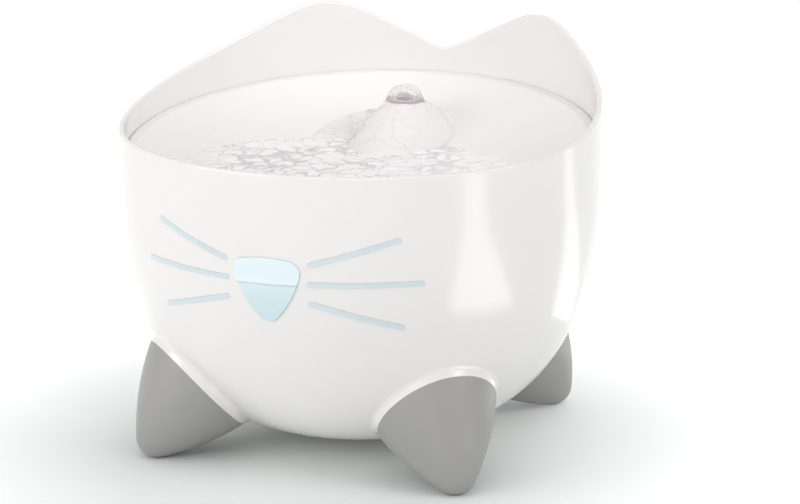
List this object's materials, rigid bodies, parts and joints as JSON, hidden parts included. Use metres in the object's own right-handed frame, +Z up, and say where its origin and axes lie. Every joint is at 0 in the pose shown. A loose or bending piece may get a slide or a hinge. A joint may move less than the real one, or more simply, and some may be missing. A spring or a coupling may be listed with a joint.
{
  "type": "pet water fountain",
  "caption": "Round white pet water fountain shaped like a cat's head, with eared rim, blue nose window and whiskers, cone feet, lift-off drinking tray, filter and pump.",
  "frame": {"origin": "on the floor under the middle of the bowl", "axes": "+Z up, the cat's face looks along -Y, +X to the right seen from the front"},
  "size_m": [0.24, 0.2412, 0.2016],
  "materials": {
    "shell_white": "glossy",
    "tray_white": "satin",
    "window_blue": "glossy",
    "whisker_blue": "glossy",
    "foot_grey": "satin",
    "pad_grey": "matte",
    "rubber_grey": "matte",
    "rubber_white": "matte",
    "steel": "satin",
    "nozzle_clear": "glossy",
    "basket_white": "satin",
    "carbon_dark": "matte",
    "foam_white": "matte",
    "pump_dark": "satin",
    "copper": "satin",
    "ceramic": "glossy",
    "magnet": "satin",
    "impeller_white": "satin",
    "board_green": "satin",
    "lens_clear": "glossy",
    "riser_clear": "glossy"
  },
  "bodies": {
    "fountain": {"bowl": "shell_white", "nose_window": "window_blue", "nose_seal": "rubber_grey", "foot_front_right": "foot_grey", "foot_rear_right": "foot_grey", "foot_rear_left": "foot_grey", "foot_front_left": "foot_grey", "foot_pads": "pad_grey", "foot_screws": "steel", "cord_gland": "rubber_white", "pump_housing": "pump_dark", "motor_cap": "pump_dark", "pump_cover": "pump_dark", "stator_core": "steel", "stator_coil": "copper", "pump_shaft": "ceramic", "shaft_bushes": "rubber_grey", "suction_cups": "rubber_grey", "led_board": "board_green", "led_lens": "lens_clear", "pump_gland": "rubber_grey", "riser_tube": "riser_clear", "riser_ring": "rubber_grey", "whisker_upper_left": "whisker_blue", "whisker_middle_left": "whisker_blue", "whisker_lower_left": "whisker_blue", "whisker_upper_right": "whisker_blue", "whisker_middle_right": "whisker_blue", "whisker_lower_right": "whisker_blue"},
    "tray": {"drinking_tray": "tray_white", "spout_nozzle": "nozzle_clear", "filter_basket": "basket_white", "filter_cartridge": "carbon_dark", "filter_foam": "foam_white"},
    "wheel": {"rotor_magnet": "magnet", "impeller": "impeller_white"}
  },
  "joints": [
    {"name": "tray_lift", "type": "slide", "parent": "fountain", "child": "tray", "axis": [0, 0, 1], "range_m": [0, 0.12]},
    {"name": "impeller_spin", "type": "hinge", "parent": "fountain", "child": "wheel", "pos_m": [0, 0.062, 0.04599], "axis": [0, 1, 0], "continuous": true}
  ]
}
